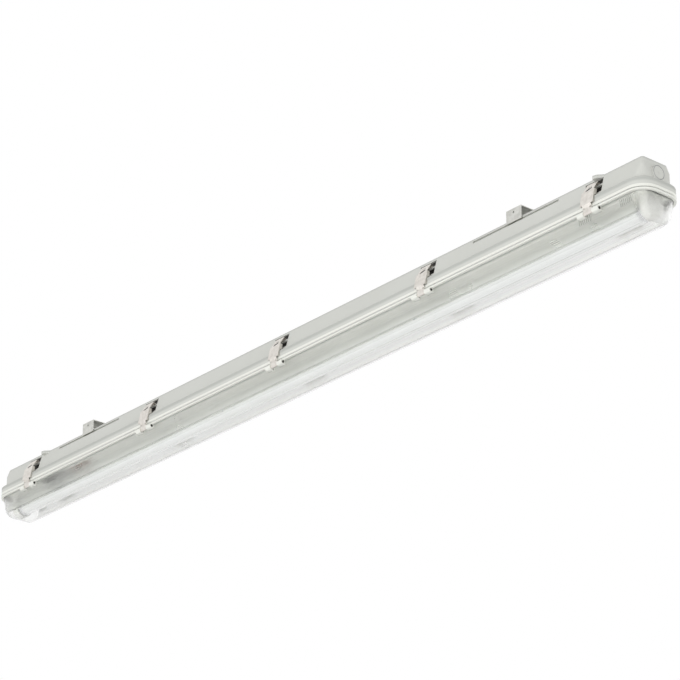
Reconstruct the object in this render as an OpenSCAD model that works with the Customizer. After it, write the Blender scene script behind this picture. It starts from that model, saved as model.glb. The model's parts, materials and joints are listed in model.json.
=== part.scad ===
// Vapour tight batten luminaire for one straight fluorescent lamp.
// The origin is the centre of the ceiling plane that the two brackets touch.
// +X runs along the fixture, -Y is the near side and +Z points up.
// Sections are drawn with the housing's top face at height zero and then hung below the ceiling.

/* [Housing] */
// Overall length over the flange
fixture_l = 1564; // [1540:1:1800]
// Overall width over the flange
flange_w = 83; // [81:0.5:90]
// Distance by which each side wall leans in towards the top
wall_lean = 8.6; // [7:0.1:9.2]
// Distance from the end of the flange back to the end of the top
top_end_inset = 13; // [9:0.5:15]
// Width of the sloping shoulder between wall and skirt
shoulder_w = 7.9; // [7.2:0.1:8.4]
// Height from the top down to the flange
body_h = 33; // [31:0.5:36]
// Wall thickness of the moulding
wall = 2.2; // [1.6:0.1:2.6]
// Corner radius of the flange, seen from above
flange_corner_r = 28.5; // [26:0.5:31]
// Corner radius of the top, seen from above
top_corner_r = 5; // [4:0.5:8]
// Height over which the upright corners stay sharp
sharp_corner_h = 13; // [10:0.5:16]
// Rounding between the top and the walls
top_edge_r = 1.4; // [1:0.1:1.5]

/* [Flange] */
// Height of the sloping shoulder between wall and skirt
shoulder_h = 4; // [3:0.2:5]
// Height of the outer skirt below the shoulder
skirt_h = 10.5; // [9:0.5:12]
// Thickness of the skirt and of the inner lip
skirt_t = 1.8; // [1.4:0.1:2.2]
// Width of the gutter that takes the seal
gutter_w = 5.2; // [4.8:0.1:5.6]
// Thickness of the gutter's roof below the shoulder
gutter_roof_t = 2; // [1.6:0.1:2.6]
// Length of the inner lip below the gutter's roof
inner_lip_h = 8; // [6:0.5:9]

/* [Seal] */
// Height of the compressed foam seal
seal_h = 4; // [3:0.2:5]
// Gap between the seal and each wall of the gutter
seal_side_gap = 0.2; // [0.1:0.05:0.4]

/* [Diffuser] */
// Wall thickness of the clear cover
cover_t = 2; // [1.6:0.1:2.4]
// Depth of the cover below its rim
cover_depth = 36; // [34:0.5:40]
// Radius of the cover's lower corners
cover_bottom_r = 21; // [20:0.5:23]
// Width that each side wall gains from the corner up to the rim
cover_flare = 3; // [2:0.2:3.6]
// Height of the rim's outer face
rim_h = 7.5; // [6.5:0.1:8.5]
// Thickness of the rim's plate
rim_t = 3; // [2.4:0.2:4]
// Width and depth of the line round the rim's outer face
rim_line = 0.8; // [0.4:0.1:1.2]
// Gap between the rim and the skirt above it
rim_gap = 0.3; // [0.2:0.1:0.6]
// Thickness of the tongue that presses into the seal
tongue_t = 2; // [1.6:0.1:2.4]
// Distance between neighbouring ribs
rib_pitch = 3.2; // [3:0.1:4.5]
// Height of a rib
rib_h = 0.35; // [0.2:0.05:0.6]
// Width of a rib at its foot
rib_w = 2.4; // [1.6:0.1:2.8]
// Share of the cover's lower corner that carries ribs
rib_arc_share = 0.5; // [0.3:0.05:0.8]

/* [Latches] */
// Latches on each side
latch_count = 5; // [3:1:5]
// Distance from the end of the flange to the end latch
latch_end = 102; // [90:1:120]
// Width of the latch's plate
latch_w = 24; // [22:0.5:26]
// Width of the plate's upper end
latch_top_w = 20; // [18:0.5:21]
// Width of the tongue that holds the axle
latch_tongue_w = 16; // [14:0.5:18]
// Thickness of the stainless sheet
latch_t = 0.9; // [0.7:0.05:1.1]
// Diameter of the axle
axle_d = 3; // [2.6:0.1:3.4]
// Radial clearance between the axle and the rolled eye
axle_fit = 0.05; // [0.03:0.01:0.08]
// Distance from the edge of the flange in to the axle
axle_inset = 0.5; // [0.1:0.1:0.7]
// Drop of the axle below the rim
axle_drop = 2.8; // [2.7:0.1:3.2]
// Width of each clear lug beside the tongue
lug_w = 11.7; // [10:0.1:13]
// Radius of the clear lugs round the axle
lug_r = 3.6; // [3.2:0.1:4]
// Depth of the open end of the axle's hole
axle_recess = 1.5; // [1:0.1:2.5]
// Gap at each side of the tongue
tongue_gap = 0.3; // [0.2:0.05:0.5]
// Length of the pry slot
pry_slot_l = 7; // [5:0.5:9]
// Width of the pry slot
pry_slot_w = 1.8; // [1.4:0.1:2.2]
// Width of each relief hole above the tongue
relief_w = 3.2; // [2:0.2:4]

/* [Latch pockets] */
// Width of the pocket in the side wall
pocket_w = 34; // [32:0.5:38]
// Top of the pocket below the housing's top
pocket_top = 5; // [4.8:0.1:6]
// Height of the pocket
pocket_h = 23; // [21:0.5:24]
// Distance of the pocket's back behind the edge of the top
pocket_depth = 2.5; // [2:0.1:3]
// Depth of the catch bar in front of the pocket's back
catch_d = 3.8; // [3:0.1:4.2]
// Thickness of the catch bar
catch_t = 2.5; // [2:0.1:3]
// Drop of the catch bar's top below the housing's top
catch_drop = 13; // [12.8:0.1:13.6]

/* [Top lugs] */
// Length of the lug beside each end latch
top_lug_l = 15; // [12:0.5:16]
// Reach of the lug beyond the edge of the top
top_lug_reach = 8; // [5:0.5:9]
// Height of the lug
top_lug_h = 4.8; // [4:0.1:4.8]
// Distance from a right-hand latch's middle to its lug
top_lug_offset = 1; // [0:0.5:3]
// Distance from a left-hand latch's middle to its lug
top_lug_far_offset = 24; // [22:0.5:30]

/* [Brackets] */
// Distance from the end of the flange to the middle of a bracket
bracket_end = 260; // [250:1:280]
// Width of a bracket along the fixture
bracket_w = 30; // [26:0.5:36]
// Height of the ceiling plane above the housing's top
bracket_rise = 15; // [12:0.5:20]
// Stand-off of each leg's outer face from the edge of the top
leg_reach = 3.6; // [3:0.1:5]
// Thickness of the bracket's sheet
bracket_t = 1.2; // [1:0.1:1.5]
// Diameter of the ceiling screw's hole
screw_hole_d = 6; // [5:0.1:7]
// Diameter of the small hole in each leg
leg_hole_d = 3.5; // [3:0.1:4.5]
// Drop of that hole below the ceiling plane
leg_hole_drop = 6.5; // [5:0.1:8]
// Length of the groove in which a bracket slides
groove_l = 175; // [160:1:200]
// Height of the groove
groove_h = 3.4; // [2.6:0.1:3.6]
// Drop of the groove below the housing's top
groove_drop = 4.4; // [3.8:0.1:5]
// Depth of the groove
groove_depth = 4.5; // [3.5:0.1:5]
// Gap between a bracket's foot and the groove
foot_gap = 0.3; // [0.2:0.05:0.4]

/* [Cable entry] */
// Width of the arched pad on each end wall
entry_w = 23; // [20:0.5:25]
// Drop of the pad's centre below the housing's top
entry_drop = 20.5; // [18:0.5:21.5]
// Stand-off of the pad's face from the foot of the end wall
entry_proud = 0.5; // [0.3:0.1:1]
// Diameter of the knockout
knockout_d = 20.4; // [16:0.1:20.6]
// Width and depth of the knockout's score line
score = 0.6; // [0.4:0.1:0.8]

/* [Gear tray] */
// Distance from the edge of the flange in to the tray's side
tray_inset = 14.5; // [13.5:0.5:15.5]
// Distance from the housing's top down to the tray's lower face
tray_drop = 50; // [49:0.5:52]
// Thickness of the tray's sheet
tray_t = 0.8; // [0.6:0.1:1]
// Height of the tray's side flanges
tray_flange_h = 12; // [8:0.5:13]
// Gap between the tray's ends and the cover
tray_end_gap = 6; // [4:0.5:8]
// Distance from the end of the flange to the end fixing
fixing_end_gap = 52; // [47:1:80]
// Distance between fixings as a share of that between the end ones
fixing_share = 0.2322; // [0.226:0.0002:0.24]
// Fixings in that row
fixing_count = 4; // [3:1:4]
// Diameter of a fixing's stem
fixing_d = 5; // [4:0.2:6]
// Diameter of a fixing's head
fixing_head_d = 11; // [9:0.5:13]

/* [Lamp] */
// Distance from the end of the flange to the lamp's end
lamp_end_gap = 32; // [31.5:0.5:34]
// Diameter of the lamp
lamp_d = 26; // [25:0.5:26]
// Drop of the lamp's axis below the housing's top
lamp_drop = 69.5; // [68:0.5:70]
// Thickness of the glass
glass_t = 0.9; // [0.7:0.1:1.2]
// Length of each metal cap
cap_l = 9; // [7:0.5:12]
// Distance between the two pins of a cap
pin_pitch = 12.7; // [12:0.1:13]
// Diameter of a pin
pin_d = 2.35; // [2.2:0.05:2.5]
// Length of a pin
pin_l = 7; // [6:0.5:7.5]
// Gap between a cap and its holder
cap_gap = 0.3; // [0.2:0.05:0.5]

/* [Lampholders] */
// Width of a lampholder
holder_w = 30; // [28:0.5:32]
// Thickness of a lampholder
holder_t = 14; // [13:0.5:14.5]
// Diameter of the turning centre
rotor_d = 21; // [20:0.5:22]
// Thickness of the turning centre
rotor_t = 9; // [8:0.5:9]
// Radial clearance round the turning centre
rotor_fit = 0.08; // [0.05:0.01:0.1]

/* [Control gear] */
// Length of the driver's case
driver_l = 440; // [400:5:450]
// Gap between the parts that lie side by side on the tray
gear_gap = 0.2; // [0.1:0.05:0.4]
// Height of the driver's case
driver_h = 19; // [15:0.5:19]
// Place of the driver's centre along the fixture
driver_x = 39.5; // [30:0.5:60]
// Distance from each end of the driver's case to its screw
driver_foot = 9.5; // [8:0.5:12]
// Distance from the end of the flange to the middle of the terminal window
window_end = 150; // [140:1:160]
// Length of the terminal window
window_l = 72; // [60:1:80]
// Length of the terminal block
terminal_l = 48; // [36:1:56]
// Height of the terminal block
terminal_h = 15; // [12:0.5:18]
// Diameter of a lead
lead_d = 2.2; // [1.8:0.1:2.6]

/* [Hidden] */

$fn = 64;
// Facets of the shapes that are blended between two outlines
blend_fn = 32;
// Thickness of a blending slice
slice = 0.02;
// Overrun of every cut
over = 1;

// Colours
housing_grey = [0.76, 0.77, 0.75];
seal_grey = [0.55, 0.56, 0.55];
clear = [0.88, 0.92, 0.9, 0.35];
steel = [0.8, 0.79, 0.77];
tray_white = [0.93, 0.94, 0.92];
lamp_white = [0.97, 0.97, 0.95];
plastic_white = [0.9, 0.9, 0.88];
brass = [0.8, 0.65, 0.35];
driver_grey = [0.85, 0.86, 0.84];
lead_blue = [0.35, 0.45, 0.62];

// Spine: the rectangle from which every rounded outline is drawn
spine_x = fixture_l / 2 - flange_corner_r;
spine_y = flange_w / 2 - flange_corner_r;

// Housing
fixture_hx = fixture_l / 2;
latch_pitch = (fixture_l - latch_end * 2) / (latch_count - 1);
junction_w = flange_w - shoulder_w * 2;
top_w = junction_w - wall_lean * 2;
junction_r = junction_w / 2 - spine_y;
top_hx = fixture_hx - top_end_inset;
top_hy = top_w / 2;
junction_hx = spine_x + junction_r;
shoulder_bevel = shoulder_h / 2;
// Depth to which the upper body is buried in the flange
bury = shoulder_bevel / 2;
// Rise of the shoulder's slope to the middle of the wall
shoulder_rise = wall / 2 * shoulder_bevel / (flange_corner_r - shoulder_bevel - junction_r);
entry_face = junction_hx + entry_proud;
// Angle between the slices that round the top's edge
edge_step = 30;
pocket_back = top_hy - pocket_depth;
top_lug_out = top_hy + top_lug_reach;
top_lug_r = 2;
top_lug_places = [
  latch_x(latch_count - 1) + top_lug_offset,
  latch_x(0) + top_lug_far_offset
];
skirt_bottom = body_h + shoulder_h + skirt_h;
gutter_outer_r = flange_corner_r - skirt_t;
gutter_inner_r = gutter_outer_r - gutter_w;
gutter_roof = body_h + shoulder_h + gutter_roof_t;
inner_lip_r = gutter_inner_r - skirt_t;
// Half width of the outer wall at a depth below the top
function wall_half(depth) = top_hy + (junction_w / 2 - top_hy) * depth / body_h;
function wall_end(depth) = top_hx + (junction_hx - top_hx) * depth / body_h;

// Diffuser
rim_top = skirt_bottom + rim_gap;
rim_bottom = rim_top + rim_h;
rim_plate = rim_bottom - rim_t;
cover_bottom = rim_bottom + cover_depth;
cover_arc_z = cover_bottom - cover_bottom_r;
cover_rim_r = cover_bottom_r + cover_flare;
tongue_top = gutter_roof + seal_h;
rib_root = cover_t / 10;
rib_arc_count = floor((cover_bottom_r - cover_t) * PI / 2 / rib_pitch);
rib_wall_count = floor((cover_arc_z - rim_bottom) / rib_pitch);

// Latches
axle_out = flange_w / 2 - axle_inset;
axle_r = axle_d / 2;
axle_z = rim_bottom + axle_drop;
eye_in_r = axle_r + axle_fit;
eye_mid_r = eye_in_r + latch_t / 2;
lug_start = latch_tongue_w / 2 + tongue_gap;
lug_end = lug_start + lug_w;
// Room between the latch and the flange
latch_room = 1;
// The plate's middle line from the eye up to the hook, as [distance out, depth]
plate_foot = [axle_out + eye_mid_r, axle_z];
plate_step = [axle_out + eye_mid_r, rim_bottom - latch_room * 4];
plate_bulge_out = flange_w / 2 + latch_room * 3 + latch_t;
plate_bulge = [plate_bulge_out, rim_bottom - latch_room * 9];
plate_bend = [wall_half(body_h * 3 / 4) + latch_room * 9, body_h * 3 / 4];
hook_depth = catch_drop - latch_room * 3;
plate_top = [wall_half(hook_depth) + latch_room * 3, hook_depth];
hook_back = [pocket_back + catch_d * 7 / 10, hook_depth];
hook_tip = [pocket_back + catch_d * 7 / 10, catch_drop - foot_gap - latch_t / 2];

// Brackets
bracket_x = fixture_hx - bracket_end;
bracket_span = top_w + leg_reach * 2;
groove_mid = groove_drop + groove_h / 2;
groove_back = wall_half(groove_mid) - groove_depth;
foot_top = groove_drop + foot_gap;
foot_tip = groove_back + foot_gap + bracket_t / 2;

// Gear tray and what it carries
tray_hx = spine_x + cover_bottom_r - cover_t - tray_end_gap;
tray_hy = flange_w / 2 - tray_inset;
tray_top = tray_drop - tray_t;
fixing_head_t = 3;
fixing_stem_l = 10;
fixing_room = 0.1;
boss_r = fixing_d / 2 + fixing_room + wall;
window_near = tray_hy - tray_t - wall;
window_far = wall;

fixing_end = fixture_hx - fixing_end_gap;
fixing_pitch = fixing_end * 2 * fixing_share;

// Lamp
lamp_l = fixture_l - lamp_end_gap * 2;
lamp_r = lamp_d / 2;
cap_end = lamp_l / 2 - cap_gap;
holder_face = lamp_l / 2;
holder_r = holder_w / 2;
holder_foot = [holder_face + wall, holder_face + holder_t - wall];
foot_hy = holder_r / 2;
foot_lip = 0.7;
foot_rise = tray_t + wall * 2;
pin_r = pin_d / 2;
rotor_r = rotor_d / 2;
rotor_slot = pin_d + rotor_fit * 2;
contact_t = 0.6;

// Driver and leads
driver_end = driver_l / 2;
driver_w = tray_hy - tray_t - boss_r - gear_gap * 2;
driver_y = boss_r + gear_gap + driver_w / 2;
lead_r = lead_d / 2;
lead_z = tray_top - lead_r;
lead_bend = lead_d * 2;
lead_gap = lead_d * 3 / 10;
lane_y = tray_hy - tray_t - lead_gap - lead_r;
foot_t = 1.5;
screw_r = 2;
// The supply leads run between the driver's foot and the lamp's leads
supply_near = boss_r + gear_gap * 2 + foot_t;
supply_far = lane_y - lead_gap - lead_r - lead_d;
terminal_y = gear_gap;
terminal_w = supply_far - gear_gap * 2;
window_x = -fixture_hx + window_end;
terminal_ways = 5;

function latch_x(i) = (i - (latch_count - 1) / 2) * latch_pitch;

// Moves a section drawn from the housing's top down to its place below the ceiling
module hung() {
  translate([0, 0, -bracket_rise]) children();
}

// A box from its lowest to its highest corner, with depths counted downwards
module depth_box(x, y, depth) {
  translate([x[0], y[0], -depth[1]])
    cube([x[1] - x[0], y[1] - y[0], depth[1] - depth[0]]);
}

// A section [distance from the spine, height] carried round the spine rectangle
module around_spine() {
  for (side = [0, 1])
    rotate(180 * side) {
      translate([-spine_x, spine_y, 0])
        rotate([90, 0, 90]) linear_extrude(spine_x * 2) children();
      translate([spine_x, spine_y, 0])
        rotate([90, 0, 0]) linear_extrude(spine_y * 2) children();
      translate([spine_x, spine_y, 0])
        rotate_extrude(angle = 90) children();
      translate([-spine_x, spine_y, 0])
        rotate(90) rotate_extrude(angle = 90) children();
    }
}

// The four corners of one level of the housing's upper body
module corner_slices(depth, hx, hy, r) {
  for (sx = [-1, 1], sy = [-1, 1])
    translate([sx * (hx - r), sy * (hy - r), -depth - slice])
      cylinder(h = slice, r = r, $fn = blend_fn);
}

// The upper body as a blend from the sharp top to the round junction, down to a depth
module upper_body(inset, bottom) {
  hull() {
    for (a = [0 : edge_step : 90])
      corner_slices(
        inset + top_edge_r * (1 - cos(a)),
        top_hx - inset - top_edge_r * (1 - sin(a)),
        top_hy - inset - top_edge_r * (1 - sin(a)),
        top_corner_r - top_edge_r * (1 - sin(a)));
    corner_slices(
      sharp_corner_h, wall_end(sharp_corner_h) - inset, wall_half(sharp_corner_h) - inset,
      top_corner_r);
    corner_slices(
      bottom, wall_end(bottom) - inset, wall_half(bottom) - inset,
      wall_half(bottom) - spine_y - inset);
  }
}

// Flange: shoulder, skirt, gutter and inner lip
module flange_section() {
  polygon([
    [inner_lip_r - wall, -body_h + shoulder_rise],
    [junction_r - wall / 2, -body_h + shoulder_rise],
    [flange_corner_r - shoulder_bevel, -body_h - shoulder_bevel],
    [flange_corner_r, -body_h - shoulder_h],
    [flange_corner_r, -skirt_bottom],
    [gutter_outer_r, -skirt_bottom],
    [gutter_outer_r, -gutter_roof],
    [gutter_inner_r, -gutter_roof],
    [gutter_inner_r, -gutter_roof - inner_lip_h],
    [inner_lip_r, -gutter_roof - inner_lip_h],
    [inner_lip_r - wall, -body_h - shoulder_h]
  ]);
}

// Runs its children at every latch on both sides, with -Y outwards
module at_latches() {
  for (i = [0 : latch_count - 1], side = [0, 1])
    translate([latch_x(i), 0, 0]) rotate(180 * side) children();
}

// The hollow behind a latch's upper end
module pocket_cut() {
  depth_box(
    [-pocket_w / 2, pocket_w / 2], [-flange_w / 2, -pocket_back],
    [pocket_top, pocket_top + pocket_h]);
}

module pocket_shell() {
  depth_box(
    [-pocket_w / 2 - wall, pocket_w / 2 + wall], [-flange_w / 2, -pocket_back + skirt_t],
    [0, pocket_top + pocket_h + skirt_t]);
}

module catch_bar() {
  depth_box(
    [-pocket_w / 2 - slice, pocket_w / 2 + slice],
    [-pocket_back - catch_d, -pocket_back + slice],
    [catch_drop, catch_drop + catch_t]);
}

// The groove that guides a bracket's foot, and the rail behind it
module groove_cut(x) {
  for (side = [0, 1])
    translate([x, 0, 0]) rotate(180 * side)
      depth_box(
        [-groove_l / 2, groove_l / 2], [-flange_w / 2, -groove_back],
        [groove_drop, groove_drop + groove_h]);
}

module groove_rail(x) {
  for (side = [0, 1])
    translate([x, 0, 0]) rotate(180 * side)
      depth_box(
        [-groove_l / 2 - wall, groove_l / 2 + wall], [-top_w, -groove_back + wall],
        [0, groove_drop + groove_h + skirt_t]);
}

// Lugs on the top edge: steep on one side and sloping off on the other
module top_lugs() {
  for (side = [0, 1], x = top_lug_places)
    rotate(180 * side) translate([x, 0, -top_lug_h]) linear_extrude(top_lug_h) {
      polygon([
        [0, -pocket_back], [0, -top_lug_out + top_lug_r], [top_lug_r, -top_lug_out],
        [top_lug_l / 2, -top_lug_out + top_lug_r / 2], [top_lug_l, -top_hy],
        [top_lug_l, -pocket_back]
      ]);
      translate([top_lug_r, -top_lug_out + top_lug_r]) circle(r = top_lug_r);
    }
}

// Arched pad for the cable entry, with its knockout
module entry_pad() {
  for (side = [0, 1])
    rotate(180 * side) {
      translate([top_hx - wall, 0, -entry_drop])
        rotate([0, 90, 0]) cylinder(h = entry_face - top_hx + wall, d = entry_w);
      depth_box(
        [top_hx - wall, entry_face], [-entry_w / 2, entry_w / 2],
        [entry_drop, body_h + shoulder_bevel / 2]);
    }
}

module entry_cut() {
  for (side = [0, 1])
    rotate(180 * side) translate([entry_face - score, 0, -entry_drop]) rotate([0, 90, 0]) {
      difference() {
        cylinder(h = score + over, d = knockout_d);
        translate([0, 0, -over])
          cylinder(h = score + over * 3, d = knockout_d - score * 2);
      }
      cylinder(h = score + over, r = score * 2);
    }
}

// Bosses that take the tray's fixings
module fixing_places() {
  for (i = [0 : fixing_count - 1])
    translate([fixing_end - i * fixing_pitch, 0, 0]) children();
  translate([-fixing_end, 0, 0]) children();
}

module fixing_bosses() {
  fixing_places()
    translate([0, 0, -tray_top]) cylinder(h = tray_top, r = boss_r);
}

module housing() {
  color(housing_grey) hung() difference() {
    union() {
      difference() {
        union() {
          upper_body(0, body_h + bury);
          entry_pad();
          top_lugs();
        }
        difference() {
          upper_body(wall, body_h + bury + over);
          at_latches() pocket_shell();
          groove_rail(bracket_x);
          groove_rail(-bracket_x);
          fixing_bosses();
        }
      }
      around_spine() flange_section();
      fixing_bosses();
    }
    at_latches() difference() {
      pocket_cut();
      catch_bar();
    }
    groove_cut(bracket_x);
    groove_cut(-bracket_x);
    entry_cut();
    fixing_places()
      translate([0, 0, -tray_top - over])
        cylinder(h = fixing_stem_l + over, r = fixing_d / 2 + fixing_room);
  }
}

// Foam seal in the gutter
module seal() {
  color(seal_grey) hung() around_spine()
    translate([gutter_inner_r + seal_side_gap, -gutter_roof - seal_h])
      square([gutter_w - seal_side_gap * 2, seal_h]);
}

// Outline of the cover's wall and lower corner, set back by a thickness
module cover_outline(back) {
  intersection() {
    translate([0, -cover_bottom]) square([flange_corner_r, cover_bottom - rim_plate]);
    union() {
      translate([0, -cover_arc_z]) circle(r = cover_bottom_r - back);
      polygon([
        [0, -cover_arc_z - slice],
        [cover_bottom_r - back, -cover_arc_z - slice],
        [cover_bottom_r - back, -cover_arc_z],
        [cover_rim_r - back, -rim_bottom],
        [cover_rim_r - back, -rim_plate + over * (back > 0 ? 1 : 0)],
        [0, -rim_plate + over * (back > 0 ? 1 : 0)]
      ]);
    }
  }
}

module cover_section() {
  difference() {
    cover_outline(0);
    cover_outline(cover_t);
  }
  translate([cover_rim_r - cover_t, -rim_bottom])
    square([flange_corner_r - cover_rim_r + cover_t, rim_t]);
  difference() {
    translate([flange_corner_r - cover_t, -rim_bottom])
      square([cover_t, rim_h]);
    translate([flange_corner_r - rim_line, -rim_plate])
      square([rim_line * 2, rim_line]);
  }
  translate([(gutter_inner_r + gutter_outer_r - tongue_t) / 2, -rim_plate - slice])
    square([tongue_t, rim_plate - tongue_top + slice]);
}

// A rib is a low triangle standing on the inner face
module rib() {
  polygon([[-rib_root, -rib_w / 2], [-rib_root, rib_w / 2], [rib_h, 0]]);
}

module rib_section() {
  for (i = [0 : rib_arc_count * rib_arc_share])
    translate([0, -cover_arc_z]) rotate(-90 * (i + 1) / (rib_arc_count + 2))
      translate([cover_bottom_r - cover_t, 0]) rotate(180) rib();
  for (i = [0 : rib_wall_count - 1])
    translate([
      cover_bottom_r - cover_t
        + cover_flare * i * rib_pitch / (cover_arc_z - rim_bottom),
      -cover_arc_z + i * rib_pitch]) rotate(180) rib();
}

module axle_lug_section() {
  translate([axle_out, -axle_z]) circle(r = lug_r);
  translate([axle_out - lug_r, -axle_z]) square([lug_r * 2, axle_z - rim_bottom + slice]);
  translate([spine_y + cover_bottom_r, -axle_z - lug_r])
    square([axle_out - spine_y - cover_bottom_r, lug_r + axle_z - rim_bottom]);
}

module along_x(from, to) {
  translate([from, 0, 0]) rotate([90, 0, 90]) linear_extrude(to - from) children();
}

// Sections at a latch are drawn with the first axis outwards, towards -Y
module latch_solid(from, to) {
  rotate(180) along_x(from, to) children();
}

module diffuser() {
  color(clear) hung() difference() {
    union() {
      around_spine() cover_section();
      depth_box(
        [-spine_x, spine_x], [-spine_y, spine_y], [cover_bottom - cover_t, cover_bottom]);
      for (side = [0, 1])
        rotate(180 * side) translate([0, spine_y, 0])
          along_x(-spine_x, spine_x) rib_section();
      at_latches() {
        latch_solid(lug_start, lug_end) axle_lug_section();
        latch_solid(-lug_end, -lug_start) axle_lug_section();
      }
    }
    at_latches()
      translate([-lug_end - over, -axle_out, -axle_z])
        rotate([0, 90, 0]) cylinder(h = (lug_end + over) * 2, r = eye_in_r);
  }
}

// Folded steel tray with the window for the terminal block
module gear_tray() {
  color(tray_white) hung() difference() {
    union() {
      depth_box([-tray_hx, tray_hx], [-tray_hy, tray_hy], [tray_top, tray_drop]);
      for (side = [0, 1])
        rotate(180 * side)
          depth_box(
            [-tray_hx + wall * 2, tray_hx - wall * 2], [-tray_hy, -tray_hy + tray_t],
            [tray_top - tray_flange_h, tray_drop]);
    }
    depth_box(
      [window_x - window_l / 2, window_x + window_l / 2], [-window_near, window_far],
      [tray_top - over, tray_drop + over]);
    fixing_places()
      translate([0, 0, -tray_drop - over]) cylinder(h = tray_t + over * 2, d = fixing_d + wall);
    for (side = [0, 1])
      rotate(180 * side)
        depth_box(
          holder_foot + [-fixing_room, fixing_room],
          [-foot_hy - fixing_room, foot_hy + fixing_room],
          [tray_top - over, tray_drop + over]);
  }
}

// Quarter-turn fixings: a round head with a grip bar below and a stem above
module tray_fixings() {
  color(plastic_white) hung() fixing_places() {
    translate([0, 0, -tray_drop - fixing_head_t / 2])
      cylinder(h = fixing_head_t / 2, d = fixing_head_d);
    depth_box(
      [-fixing_head_d / 2 + wall / 2, fixing_head_d / 2 - wall / 2], [-wall / 2, wall / 2],
      [tray_drop, tray_drop + fixing_head_t]);
    translate([0, 0, -tray_drop]) cylinder(h = fixing_stem_l, d = fixing_d);
  }
}

// Driver case with a raised lid, end recesses and a foot at each end
module driver() {
  color(driver_grey) hung() translate([driver_x, driver_y, 0]) {
    difference() {
      union() {
        depth_box(
          [-driver_end, driver_end], [-driver_w / 2, driver_w / 2],
          [tray_top - driver_h + wall, tray_top]);
        depth_box(
          [-driver_end + wall, driver_end - wall],
          [-driver_w / 2 + wall / 2, driver_w / 2 - wall / 2],
          [tray_top - driver_h, tray_top]);
      }
      for (side = [-1, 1])
        translate([side * driver_end, 0, 0])
          depth_box(
            [-wall * 2, wall * 2], [-driver_w / 2 + wall, driver_w / 2 - wall],
            [tray_top - driver_h * 2 / 3, tray_top - driver_h / 3]);
    }
    for (side = [-1, 1])
      difference() {
        depth_box(
          side > 0 ? [driver_end - wall, driver_end + driver_foot + screw_r * 2]
                   : [-driver_end - driver_foot - screw_r * 2, -driver_end + wall],
          [-driver_y - screw_r * 2, -driver_w / 2 + foot_t], [tray_top - foot_t, tray_top]);
        translate([side * (driver_end + driver_foot), -driver_y, -tray_top - over])
          cylinder(h = foot_t + over * 2, r = screw_r + fixing_room);
      }
  }
}

module driver_screws() {
  color(steel) hung() for (side = [-1, 1])
    translate([driver_x + side * (driver_end + driver_foot), 0, 0]) {
      translate([0, 0, -tray_top]) cylinder(h = foot_t, r = screw_r);
      translate([0, 0, -tray_top + foot_t]) cylinder(h = screw_r, r = screw_r * 2);
    }
}

// Terminal block on the window's far edge
module terminal_block() {
  color(plastic_white) hung() difference() {
    depth_box(
      [window_x - terminal_l / 2, window_x + terminal_l / 2],
      [terminal_y, terminal_y + terminal_w], [tray_top - terminal_h, tray_top]);
    terminal_ways_at() {
      translate([0, terminal_w / 2, -tray_top + terminal_h / 2])
        cylinder(h = terminal_h, r = screw_r + fixing_room);
      translate([0, terminal_w + over, -tray_top + terminal_h / 3])
        rotate([90, 0, 0]) cylinder(h = terminal_w / 3, r = lead_r + fixing_room);
    }
  }
}

module terminal_ways_at() {
  for (i = [0 : terminal_ways - 1])
    translate([
      window_x + terminal_l * ((i + 1 / 2) / terminal_ways - 1 / 2), terminal_y, 0])
      children();
}

module terminal_screws() {
  color(steel) hung() terminal_ways_at()
    translate([0, terminal_w / 2, -tray_top + terminal_h / 2]) difference() {
      cylinder(h = terminal_h / 3, r = screw_r);
      translate([-screw_r * 2, -contact_t / 2, terminal_h / 3 - contact_t])
        cube([screw_r * 4, contact_t, contact_t + over]);
    }
}

// Brass earth tag on the tray's near edge
module earth_tag() {
  color(brass) hung() translate([window_x + window_l * 2 / 3, -tray_hy / 2, 0]) {
    translate([0, 0, -tray_drop - foot_t / 2]) cylinder(h = foot_t / 2, r = screw_r * 2);
    depth_box(
      [0, terminal_l / 3], [-screw_r, screw_r], [tray_drop, tray_drop + contact_t]);
    translate([0, 0, -tray_drop - foot_t]) cylinder(h = foot_t, r = screw_r);
  }
}

// Lampholder with the bore for its turning centre and the slot for the pins
module lampholder() {
  hung() difference() {
    union() {
      depth_box(
        [holder_face, holder_face + holder_t], [-holder_r, holder_r], [tray_drop, lamp_drop]);
      translate([holder_face, 0, -lamp_drop])
        rotate([0, 90, 0]) cylinder(h = holder_t, r = holder_r);
      depth_box(holder_foot, [-foot_hy, foot_hy], [tray_drop - foot_rise, tray_drop + slice]);
      depth_box(
        holder_foot, [-foot_hy - foot_lip, foot_hy + foot_lip],
        [tray_drop - foot_rise, tray_top]);
    }
    translate([holder_face - over, 0, -lamp_drop])
      rotate([0, 90, 0]) cylinder(h = rotor_t + cap_gap + over, r = rotor_r + rotor_fit);
    depth_box(
      [holder_face - over, holder_face + rotor_t], [-rotor_slot / 2, rotor_slot / 2],
      [lamp_drop, lamp_drop + holder_w]);
    translate([holder_face + rotor_t, 0, -lamp_drop])
      depth_box(
        [0, holder_t / 4], [-pin_pitch / 2 - pin_d, pin_pitch / 2 + pin_d], [-pin_d, pin_d]);
  }
}

module lampholder_left() {
  color(plastic_white) rotate(180) lampholder();
}

module lampholder_right() {
  color(plastic_white) lampholder();
}

// Spring contacts behind the turning centre
module holder_contacts() {
  color(brass) hung() for (side = [0, 1], y = [-1, 1])
    rotate(180 * side)
      translate([holder_face + rotor_t + holder_t / 4 - contact_t, y * pin_pitch / 2, -lamp_drop])
        depth_box([0, contact_t], [-pin_r, pin_r], [-pin_d, pin_d]);
}

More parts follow.
